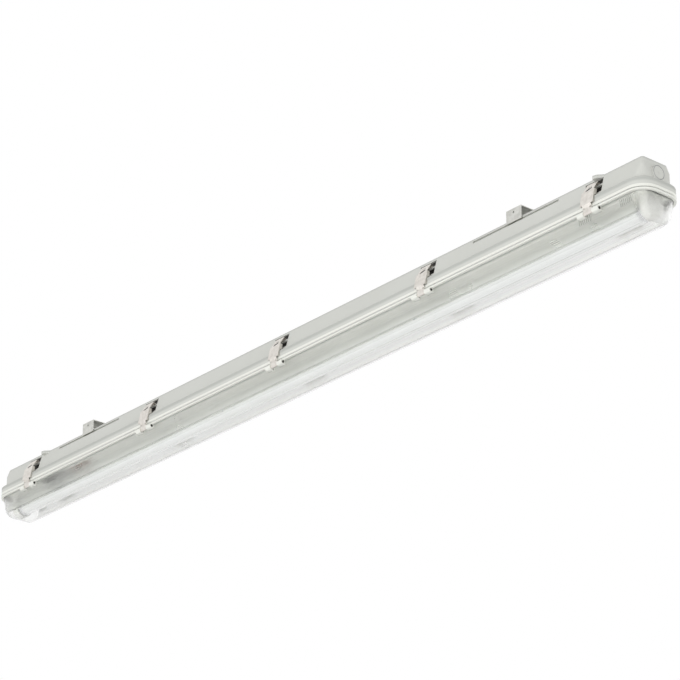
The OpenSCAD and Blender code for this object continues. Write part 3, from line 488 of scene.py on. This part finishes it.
waves = node(tree, "ShaderNodeGroup", {
    "Color": tone(255, 255, 255), "Other": tone(253, 253, 252), "Scale": 6.0, "Amount": 0.8},
    node_tree=tone_drift)
across = node(tree, "ShaderNodeCombineXYZ", {"Y": place["Y"], "Z": place["Z"]})
streaks = node(tree, "ShaderNodeTexNoise", {
    "Vector": across.outputs[0], "Scale": 520.0, "Detail": 2.0, "Roughness": 0.6})
streak = stretch(tree, streaks.outputs[0], 0.50, 0.66, high=0.9)
colour = tint(tree, streak, waves.outputs["Color"], tone(236, 237, 235))
colour = tint(tree, painted_corner_shade, colour, tone(246, 247, 244))
colour = tint(tree, painted_dark_line, colour, tone(198, 199, 195))

rough = blend(tree, ribbed, CLEAR_ROUGH,
              stretch(tree, waves.outputs["Mask"], 0.0, 1.0, *HAZY_ROUGH))
rough = blend(tree, end, rough, END_ROUGH)
rough = blend(tree, rim, rough, RIM_ROUGH)
skin = node(tree, "ShaderNodeGroup", {"Size": 60.0, "Pits": 0.0}, node_tree=mould_skin)
ripple = node(tree, "ShaderNodeBump", {
    "Height": skin.outputs["Height"], "Strength": 1.0, "Distance": 0.000008})
glass = node(tree, "ShaderNodeBsdfPrincipled", {
    "Base Color": colour, "Roughness": rough, "Normal": ripple.outputs[0],
    "IOR": COVER_IOR, "Transmission Weight": 1.0})
through = node(tree, "ShaderNodeBsdfTransparent", {"Color": tone(251, 252, 251)})
rays = node(tree, "ShaderNodeLightPath").outputs
both = node(tree, "ShaderNodeMixShader", {
    0: rays["Is Shadow Ray"], 1: glass.outputs[0], 2: through.outputs[0]})
node(tree, "ShaderNodeOutputMaterial", {"Surface": both.outputs[0]})

# %% [markdown]
# ### The rim's matt skin and painted glow
# Light that enters the cover runs along it and comes out at the rim, which has a matt
# skin, so the rim and the lugs under it are the brightest parts of the cover. From outside
# they look like a white satin plastic with a faint glow. This finish paints that look, and
# its glow is painted light.

# %% Rim finish with a painted glow
# Painted glow: its emission stands in for the light that the cover pipes to its rim.
rim_frost = finish(
    "rim_frost", tone(223, 224, 217), tone(220, 221, 214), tone(238, 238, 234),
    drift=10.0, roughness=(0.36, 0.46), skin=700.0, depth=0.00002, radius=0.0003, glow=0.11)

# %% [markdown]
# ### Edges of clear ribs
# A clear rib seen edge on bends the light away, so it shows as a grey stripe. The short
# ribs of the cover's combs get this grey instead of real glass, which would vanish.

# %% Grey of a clear edge
clear_edge = finish(
    "clear_edge", tone(186, 188, 182), tone(170, 172, 166), tone(206, 208, 203),
    drift=200.0, roughness=(0.30, 0.40), skin=900.0, depth=0.00002, radius=0.0002)

# %% [markdown]
# ## Dressing the solids
# A solid keeps its mesh and place, and only its material slots change. One table says which
# finish each solid gets. Names that repeat, such as the latches, are matched by their start,
# and the longest match wins.

# %% Give each solid its finish
finish_of = {
    "housing": housing_plastic, "seal": foam_seal, "diffuser": clear_cover,
    "gear_tray": tray_paint, "tray_fixings": white_plastic, "driver_screws": zinc_steel,
    "driver": driver_case, "terminal_block": white_plastic, "terminal_screws": zinc_steel,
    "earth_tag": brass_parts, "lampholder": white_plastic, "holder_contacts": brass_parts,
    "supply_leads": lead_insulation, "lamp_leads": white_lead_insulation,
    "latch": stainless, "latch_axles": dark_steel, "bracket": bracket_steel,
    "rotor": rotor_plastic,
    "lamp_tube": lamp_glass, "lamp_cap": lamp_cap_metal, "lamp_pins": brass_parts,
}
for name, solid in nodes.items():
    key = max((k for k in finish_of if name.startswith(k)), key=len)
    solid.data.materials.clear()
    solid.data.materials.append(finish_of[key])
print("dressed:", len(nodes))

# %% [markdown]
# ## Small parts: shapes made from given sizes
# A screw head or a moulded ring is turned on an axis, so its mesh comes from an outline of
# radius and height. Flat parts start as a block with bevelled edges. Both helpers return a
# pattern, which the next step repeats. The patterns themselves are removed at the end.


# %% Shapes for the patterns
def keep(name, shape):
    """Turns a finished bmesh into an object."""
    bmesh.ops.recalc_face_normals(shape, faces=shape.faces)
    mesh = bpy.data.meshes.new(name)
    shape.to_mesh(mesh)
    shape.free()
    made = bpy.data.objects.new(name, mesh)
    bpy.context.scene.collection.objects.link(made)
    return made


def turned(name, outline, steps=28):
    """A closed shape from (radius, height) pairs that start and end on the axis."""
    shape = bmesh.new()
    rings = []
    for radius, height in outline:
        count = steps if radius > 0 else 1
        rings.append([shape.verts.new((
            radius * math.cos(math.tau * k / steps),
            radius * math.sin(math.tau * k / steps), height)) for k in range(count)])
    for low, high in zip(rings, rings[1:]):
        for k in range(steps):
            corners = (low[k % len(low)], low[(k + 1) % len(low)],
                       high[(k + 1) % len(high)], high[k % len(high)])
            shape.faces.new(list(dict.fromkeys(corners)))
    return keep(name, shape)


def block(name, low, high, bevel):
    """A box between two corners with bevelled edges."""
    shape = bmesh.new()
    bmesh.ops.create_cube(shape, size=1.0)
    for v in shape.verts:
        v.co = Vector([low[k] if v.co[k] < 0 else high[k] for k in range(3)])
    bmesh.ops.bevel(shape, geom=shape.edges[:], offset=bevel, segments=2, affect="EDGES")
    return keep(name, shape)


# %% [markdown]
# ## Geometry Nodes: a row and a ring
# The same part comes back along the fitting or round the lamp, so two small trees repeat a
# pattern: one along a line, one on a circle about the lamp's direction. The instances
# become real meshes at the end of each tree, because the export drops instances, and the
# result is kept as a plain mesh.


# %% Build the two trees
def repeat_tree(name, inputs):
    """A geometry tree with named inputs. Returns it with its input and output nodes."""
    tree = bpy.data.node_groups.new(name, "GeometryNodeTree")
    for label, kind, value in inputs:
        socket = tree.interface.new_socket(name=label, in_out="INPUT", socket_type=kind)
        if value is not None:
            socket.default_value = value
    tree.interface.new_socket(name="Mesh", in_out="OUTPUT", socket_type="NodeSocketGeometry")
    return tree, tree.nodes.new("NodeGroupInput").outputs, tree.nodes.new("NodeGroupOutput")


def close_tree(tree, given, result, instances):
    """Ends a tree with real meshes and their finish."""
    real = node(tree, "GeometryNodeRealizeInstances", {0: instances})
    painted = node(tree, "GeometryNodeSetMaterial", {
        0: real.outputs[0], "Material": given["Finish"]})
    tree.links.new(painted.outputs[0], result.inputs[0])
    return tree


OBJECT, FINISH, WHOLE = "NodeSocketObject", "NodeSocketMaterial", "NodeSocketInt"
tree, given, result = repeat_tree("row_of_parts", [
    ("Part", OBJECT, None), ("Count", WHOLE, 2), ("Start", VECTOR, (0, 0, 0)),
    ("Step", VECTOR, (0.1, 0, 0)), ("Turn", FLOAT, 0.0), ("Random turn", FLOAT, 0.0),
    ("Seed", WHOLE, 3), ("Finish", FINISH, None)])
line = node(tree, "GeometryNodeMeshLine", {
    "Count": given["Count"], "Start Location": given["Start"], "Offset": given["Step"]})
part = node(tree, "GeometryNodeObjectInfo", {0: given["Part"]})
loose = node(tree, "FunctionNodeRandomValue", {
    2: 0.0, 3: given["Random turn"], "Seed": given["Seed"]}, data_type="FLOAT")
angle = calculate(tree, "ADD", given["Turn"], loose.outputs[1])
about = node(tree, "ShaderNodeCombineXYZ", {"Z": angle})
copies = node(tree, "GeometryNodeInstanceOnPoints", {
    "Points": line.outputs[0], "Instance": part.outputs["Geometry"], "Rotation": about.outputs[0]})
row_tree = close_tree(tree, given, result, copies.outputs[0])

tree, given, result = repeat_tree("ring_of_parts", [
    ("Part", OBJECT, None), ("Count", WHOLE, 6), ("Radius", FLOAT, 0.01),
    ("Centre", VECTOR, (0, 0, 0)), ("Turn", FLOAT, 0.0), ("Finish", FINISH, None)])
circle = node(tree, "GeometryNodeMeshCircle", {
    "Vertices": given["Count"], "Radius": given["Radius"]})
spot = node(tree, "GeometryNodeInputPosition").outputs[0]
out = node(tree, "FunctionNodeAlignRotationToVector", {"Vector": spot}, axis="X")
part = node(tree, "GeometryNodeObjectInfo", {0: given["Part"]})
copies = node(tree, "GeometryNodeInstanceOnPoints", {
    "Points": circle.outputs[0], "Instance": part.outputs["Geometry"], "Rotation": out.outputs[0]})
about = node(tree, "ShaderNodeCombineXYZ", {"Z": given["Turn"]})
spun = node(tree, "GeometryNodeTransform", {0: copies.outputs[0], "Rotation": about.outputs[0]})
stood = node(tree, "GeometryNodeTransform", {
    0: spun.outputs[0], "Rotation": (0.0, math.pi / 2, 0.0), "Translation": given["Centre"]})
ring_tree = close_tree(tree, given, result, stood.outputs[0])


def repeat(name, tree, body, slot, **values):
    """Runs a tree once, keeps its mesh as a piece, and makes it ride on a body."""
    holder = bpy.data.objects.new(name + "_maker", bpy.data.meshes.new(name + "_maker"))
    bpy.context.scene.collection.objects.link(holder)
    maker = holder.modifiers.new("maker", "NODES")
    maker.node_group = tree
    for item in tree.interface.items_tree:
        key = item.name.lower().replace(" ", "_")
        if item.in_out == "INPUT" and key in values:
            maker[item.identifier] = values[key]
    graph = bpy.context.evaluated_depsgraph_get()
    mesh = bpy.data.meshes.new_from_object(holder.evaluated_get(graph))
    bpy.data.objects.remove(holder)
    piece = bpy.data.objects.new(name, mesh)
    bpy.context.scene.collection.objects.link(piece)
    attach(piece, body)
    print(name, "faces:", len(mesh.polygons))


LATCHES, LATCH_STEP = 5, 0.340
SIDES = (("near", 0.0), ("far", math.pi))


def at_latches(name, slot, part, look):
    """Puts a part at the five latches of each side, as one piece for a side."""
    for side, turn in SIDES:
        repeat(f"{name}_{side}", row_tree, "fixture", slot, part=part, count=LATCHES,
               start=(-2 * LATCH_STEP, 0, 0), step=(LATCH_STEP, 0, 0), turn=turn, finish=look)


# %% [markdown]
# ## Under the tray
# The driver is held by two screws, whose heads show under the tray, and beside two of the
# fixings a flat pad is pressed down from the sheet. The screw head is turned as a dome,
# and a Boolean cuts its cross. Each head is turned by a random angle, as a real one is.

# %% Screw heads and pressed pads
TRAY_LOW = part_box("gear_tray")[0].z
SCREW_R, CROSS_HALF = 0.002, 0.0022
PAD_X, PAD_Y, PAD_STEP = -0.004, 0.011, 0.363
screws_low, screws_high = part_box("driver_screws")
dome = turned("dome_pattern", [
    (0, 0.0), (0.0040, 0.0), (0.0040, -0.0006), (0.0036, -0.0013), (0.0027, -0.0018),
    (0.0014, -0.0021), (0, -0.0022)])
for k in range(2):
    arm = block("arm_pattern", (-CROSS_HALF, -0.0004, -0.003), (CROSS_HALF, 0.0004, -0.0010),
                0.0001)
    arm.data.transform(Matrix.Rotation(k * math.pi / 2, 4, "Z"))
    cut = dome.modifiers.new("cross", "BOOLEAN")
    cut.object, cut.operation, cut.solver = arm, "DIFFERENCE", "EXACT"
first_x, last_x = screws_low.x + SCREW_R, screws_high.x - SCREW_R
repeat("tray_screw_heads", row_tree, "fixture", "zinc_steel", part=dome, count=2,
       start=(first_x, 0, TRAY_LOW), step=(last_x - first_x, 0, 0),
       random_turn=1.5, seed=5, finish=zinc_steel)
pad = block("pad_pattern", (-0.014, -0.0035, -0.0006), (0.014, 0.0035, 0.0002), 0.0003)
repeat("tray_pads", row_tree, "fixture", "tray_paint", part=pad, count=2,
       start=(PAD_X, PAD_Y, TRAY_LOW), step=(PAD_STEP, 0, 0), finish=tray_paint)

# %% [markdown]
# ## Leads under the tray
# Beside the terminal block four brown leads come down through the tray and run along it
# for a few centimetres. Each one is a thin rod with round ends, repeated across the tray.

# %% Brown leads
LEAD_R, LEAD_HALF, LEAD_STEP, LEAD_SINK = 0.0011, 0.0275, 0.0028, 0.0001
LEAD_X, LEAD_Y = -0.560, -0.0170
slices = [k * math.pi / 8 for k in range(5)]
rod = turned("rod_pattern", [(0, -LEAD_HALF)] + [
    (LEAD_R * math.sin(a), -LEAD_HALF + LEAD_R * (1 - math.cos(a))) for a in slices[1:]] + [
    (LEAD_R * math.cos(a), LEAD_HALF - LEAD_R * (1 - math.sin(a))) for a in slices[:4]] + [
    (0, LEAD_HALF)], 16)
rod.data.transform(Matrix.Rotation(math.pi / 2, 4, "Y"))
repeat("tray_lead_loops", row_tree, "fixture", "lead_insulation", part=rod, count=4,
       start=(LEAD_X, LEAD_Y, TRAY_LOW - LEAD_R + LEAD_SINK), step=(0, LEAD_STEP, 0),
       finish=lead_insulation)

# %% [markdown]
# ## Behind the latches
# Each latch hooks over a bar in a pocket of the housing. The gap beside a latch is nearly
# black, and a thin dark sheet in the pocket paints that shade. The sheet is a back and two
# cheeks, and comes five times a side, so one closed mesh is built point by point and
# repeated.

# %% Painted shade in the pockets
# Painted shade: a thin dark sheet lines each pocket where there is only shade.
SHADE_SHEET_HALF, SHADE_SHEET_OUT, SHADE_SHEET_BACK, SHADE_SHEET_T = 0.0168, -0.0265, -0.0227, 0.0004
SHADE_SHEET_LOW, SHADE_SHEET_HIGH = HOUSING_HIGH.z - 0.0278, HOUSING_HIGH.z - 0.0052


def three_sides(half, back):
    """A back and two cheeks as a line of four points, seen from above."""
    return [(-half, SHADE_SHEET_OUT), (-half, back), (half, back), (half, SHADE_SHEET_OUT)]


shape = bmesh.new()
outer = three_sides(SHADE_SHEET_HALF, SHADE_SHEET_BACK)
inner = three_sides(SHADE_SHEET_HALF - SHADE_SHEET_T, SHADE_SHEET_BACK - SHADE_SHEET_T)
posts = [[shape.verts.new((x, y, z)) for z in (SHADE_SHEET_LOW, SHADE_SHEET_HIGH)]
         for x, y in outer + inner[::-1]]
for (a, b), (c, d) in zip(posts, posts[1:] + posts[:1]):
    shape.faces.new((a, c, d, b))
for level in (0, 1):
    for k in range(3):
        shape.faces.new([posts[n][level] for n in (k, k + 1, 6 - k, 7 - k)])
at_latches("pocket_clips", "stainless", keep("clip_pattern", shape), dark_steel)

# %% [markdown]
# ## The rim's two lines
# A fine line divides the rim's outer face, so it shows as two bright lines all round. Both
# are thin skins on the rim in the rim finish, whose glow is painted light: a section is
# swept round a rectangle with round corners, which a few lines of code do well. The lower
# one also covers the rim's underside.


# %% Sweep a section round the rim
def round_path(half_x, half_y, radius, steps=10):
    """Points and outward directions of a rectangle with round corners."""
    path = []
    for corner, (sx, sy) in enumerate(((1, 1), (-1, 1), (-1, -1), (1, -1))):
        centre = Vector((sx * (half_x - radius), sy * (half_y - radius), 0))
        for k in range(steps + 1):
            angle = math.pi / 2 * (corner + k / steps)
            out = Vector((math.cos(angle), math.sin(angle), 0))
            path.append((centre + out * radius, out))
    return path


def swept(name, path, section):
    """A closed tube: section holds (distance outward, height) pairs round its outline."""
    shape = bmesh.new()
    rings = [[shape.verts.new(point + out * d + Vector((0, 0, h))) for d, h in section]
             for point, out in path]
    for one, two in zip(rings, rings[1:] + rings[:1]):
        for k in range(len(section)):
            n = (k + 1) % len(section)
            shape.faces.new((one[k], two[k], two[n], one[n]))
    return keep(name, shape)


FLANGE_X, FLANGE_Y, FLANGE_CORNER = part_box("diffuser")[1].x, 0.0415, 0.0285
SKIN_IN, SKIN_OUT, UNDER_IN = -0.0006, 0.00015, -0.0040
UPPER = RIM_FOOT + 0.0075
rim_path = round_path(FLANGE_X, FLANGE_Y, FLANGE_CORNER)
for name, section in (
        ("rim_line_upper", [(SKIN_IN, UPPER + 0.0008), (SKIN_OUT, UPPER + 0.0008),
                            (SKIN_OUT, UPPER - 0.0034), (SKIN_IN, UPPER - 0.0035)]),
        ("rim_line_lower", [(SKIN_IN, RIM_FOOT + 0.0029), (SKIN_OUT, RIM_FOOT + 0.0028),
                            (SKIN_OUT, RIM_FOOT + 0.0002), (-0.0002, RIM_FOOT - 0.0001),
                            (UNDER_IN, RIM_FOOT - 0.0001), (UNDER_IN, RIM_FOOT + 0.0003),
                            (SKIN_IN, RIM_FOOT + 0.0004)])):
    line = swept(name, rim_path, section)
    line.data.materials.append(rim_frost)
    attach(line, "fixture")
    print(name, "faces:", len(line.data.polygons))

# %% [markdown]
# ## The lugs that carry the latch axles
# Two clear lugs stand beside each latch, and the axle ends in a hole in each of them. The
# matt skin and painted glow of the rim finish make a lug bright, and the end of the dark
# axle shows as a round dot. A lug is its side view pushed along the cover, and a Boolean
# drills the hole.

# %% Lugs
LUG_R, LUG_FROM, LUG_TO, LUG_TOP = 0.00375, 0.00822, 0.02015, RIM_FOOT - 0.0002
LUG_BACK_LOW, LUG_BACK_HIGH = -0.0362, -0.0368
HOLE_R, DRILL_HALF = 0.00165, 0.03
outline = [(AXLE_Y - LUG_R, LUG_TOP)] + [
    (AXLE_Y - LUG_R * math.cos(a * math.pi / 16), AXLE_Z - LUG_R * math.sin(a * math.pi / 16))
    for a in range(9)] + [(LUG_BACK_LOW, AXLE_Z - LUG_R), (LUG_BACK_HIGH, LUG_TOP)]
shape = bmesh.new()
for side in (1, -1):
    ends = [[shape.verts.new((side * x, y, z)) for y, z in outline] for x in (LUG_FROM, LUG_TO)]
    for face in ends:
        shape.faces.new(face)
    for k in range(len(outline)):
        n = (k + 1) % len(outline)
        shape.faces.new((ends[0][k], ends[0][n], ends[1][n], ends[1][k]))
lug_pair = keep("lug_pattern", shape)
drill = turned("drill_pattern", [
    (0, -DRILL_HALF), (HOLE_R, -DRILL_HALF), (HOLE_R, DRILL_HALF), (0, DRILL_HALF)], 20)
drill.data.transform(Matrix.Translation((0, AXLE_Y, AXLE_Z))
                     @ Matrix.Rotation(math.pi / 2, 4, "Y"))
bore = lug_pair.modifiers.new("bore", "BOOLEAN")
bore.object, bore.operation, bore.solver = drill, "DIFFERENCE", "EXACT"
at_latches("axle_lugs", "clear_cover", lug_pair, rim_frost)

# %% Ends of the axles
END_R, END_TIP_R, END_T, END_OUT = 0.0023, 0.0020, 0.0007, LUG_TO + 0.0002
shape = bmesh.new()
for side in (1, -1):
    made = bmesh.ops.create_cone(shape, cap_ends=True, segments=16, radius1=END_R,
                                 radius2=END_TIP_R, depth=END_T)
    bmesh.ops.transform(shape, verts=made["verts"], matrix=Matrix.Translation((
        side * END_OUT, AXLE_Y, AXLE_Z)) @ Matrix.Rotation(side * math.pi / 2, 4, "Y"))
at_latches("axle_ends", "stainless", keep("end_pattern", shape), dark_steel)

# %% [markdown]
# ## The slots in the latches
# A screwdriver goes into a slot in each latch to lever it open. The slot's edge is pressed
# inwards, so the slot lies in shade, and a dark oval on the latch paints that shade. Each
# oval rides on its own latch, so there is one piece for every latch.

# %% Painted shade ovals in the slots
PLATE_LOW, PLATE_HIGH = Vector((0, -0.04045, -0.03975)), Vector((0, -0.0306, -0.0250))
SLOT_AT, SKIN_OFF, OVAL_TURN, OVAL_SHAPE = 0.18, 0.00045, 0.35, (5.6, 2.5, 1.0, 1.0)
up_plate = (PLATE_HIGH - PLATE_LOW).normalized()
out_plate = Vector((0, -up_plate.z, up_plate.y))
slot_place = PLATE_LOW.lerp(PLATE_HIGH, SLOT_AT) + out_plate * SKIN_OFF
tilt = Matrix((Vector((1, 0, 0)), up_plate, out_plate)).transposed().to_4x4()
# Painted shade: a dark oval on the latch where the slot lies in shade.
oval = turned("oval_pattern", [
    (0, -0.0002), (0.0010, -0.0002), (0.0010, 0.00004), (0, 0.00002)], 24)
oval.data.transform(Matrix.Translation(slot_place) @ tilt @ Matrix.Rotation(OVAL_TURN, 4, "Z")
                    @ Matrix.Diagonal(OVAL_SHAPE))
for side, turn in SIDES:
    for k in range(LATCHES):
        latch = f"latch_{side}_{k + 1}"
        middle = sum(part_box(latch), Vector()).x / 2
        repeat(f"slot_edge_{side}_{k + 1}", row_tree, latch, "stainless", part=oval, count=1,
               start=(middle, 0, 0), turn=turn, finish=dark_steel)

# %% [markdown]
# ## Combs in the cover
# Near one end of each side the cover carries two short combs of upright ribs, just below
# the rim. They stiffen the wall beside the end latch and catch the light as a row of
# short stripes. Each rib is a thin bar that leans with the wall.

# %% Combs
TOOTH_LOW, TOOTH_HIGH = (-0.0006, -0.0366, -0.0825), (0.0006, -0.0352, -0.0735)
LEAN, COMB_STARTS, TEETH, TOOTH_STEP = 0.20, (0.656, 0.7335), 7, 0.0034
tooth = block("tooth_pattern", TOOTH_LOW, TOOTH_HIGH, 0.0002)
for v in tooth.data.vertices:
    v.co.y += LEAN * (TOOTH_HIGH[2] - v.co.z)
for number, start in enumerate(COMB_STARTS, 1):
    for (side, turn), way in zip(SIDES, (1, -1)):
        repeat(f"cover_comb_{side}_{number}", row_tree, "fixture", "clear_cover", part=tooth,
               count=TEETH, start=(way * start, 0, 0), step=(way * TOOTH_STEP, 0, 0), turn=turn,
               finish=clear_edge)

# %% [markdown]
# ## Ends: knockout webs and crimped caps
# Four webs hold the knockout in its score line until it is pressed out, and a grey ring
# lies in the line as painted shade, where the groove is in shade. The lamp's metal caps are
# crimped on the glass, which leaves a ring of small dimples. Webs and dimples are both rings
# of one part, so they share the second tree, and the grey ring is a section swept round a circle.

# %% Webs and crimps
KNOCKOUT_X, KNOCKOUT_Z = HOUSING_HIGH.x - 0.0074, HOUSING_HIGH.z - 0.0205
SCORE_R, WEB_R, WEB_SINK, CRIMP_IN = 0.0102, 0.0099, 0.0003, 0.003
cap_low, cap_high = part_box("lamp_cap_right")
cap_r, lamp_z = (cap_high.z - cap_low.z) / 2, (cap_high.z + cap_low.z) / 2
web = block("web_pattern", (-0.0004, -0.0008, -0.0003), (0.0004, 0.0008, 0.0003), 0.0001)
crimp = turned("crimp_pattern", [
    (0, 0.0001), (0.0005, 0.00005), (0.0009, -0.0003), (0, -0.0003)], 12)
crimp.data.transform(Matrix.Rotation(math.pi / 2, 4, "Y"))
score = ((-0.0004, -0.0004), (-0.0004, 0.0001), (0.0004, 0.0001), (0.0004, -0.0004))
for side, way in (("left", -1), ("right", 1)):
    # Painted shade: a grey ring, in the seal's foam colour, where the score groove is shaded.
    ring = swept("knockout_line_" + side, round_path(SCORE_R, SCORE_R, SCORE_R), score)
    ring.data.transform(Matrix.Translation((way * KNOCKOUT_X, 0, KNOCKOUT_Z))
                        @ Matrix.Rotation(way * math.pi / 2, 4, "Y"))
    ring.data.materials.append(foam_seal)
    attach(ring, "fixture")
    repeat("knockout_webs_" + side, ring_tree, "fixture", "housing_plastic", part=web, count=4,
           radius=WEB_R, centre=(way * (KNOCKOUT_X - WEB_SINK), 0, KNOCKOUT_Z),
           turn=math.pi / 4, finish=housing_plastic)
    repeat("cap_crimps_" + side, ring_tree, "lamp", "lamp_cap_metal", part=crimp, count=12,
           radius=cap_r, centre=(way * (cap_low.x + CRIMP_IN), 0, lamp_z), finish=lamp_cap_metal)

# %% [markdown]
# ## Gate marks on the top
# The long housing is filled through several gates, which leave small round marks in a row
# along its flat top. They only show from above. Each is a turned outline, one above each
# pair of latches.

# %% Gate marks
gate = turned("gate_pattern", [
    (0, -0.0003), (0.0034, -0.0003), (0.0034, 0.00015), (0.0030, 0.0003), (0.0024, 0.0003),
    (0.0021, 0.0001), (0, 0.0001)])
repeat("housing_gate_marks", row_tree, "fixture", "housing_plastic", part=gate, count=LATCHES,
       start=(-2 * LATCH_STEP, 0, HOUSING_HIGH.z), step=(LATCH_STEP, 0, 0),
       finish=housing_plastic)

# %% [markdown]
# ## Finish
# The patterns have done their work and go.

# %% The end
for pattern in [o for o in bpy.data.objects if "_pattern" in o.name]:
    bpy.data.objects.remove(pattern)
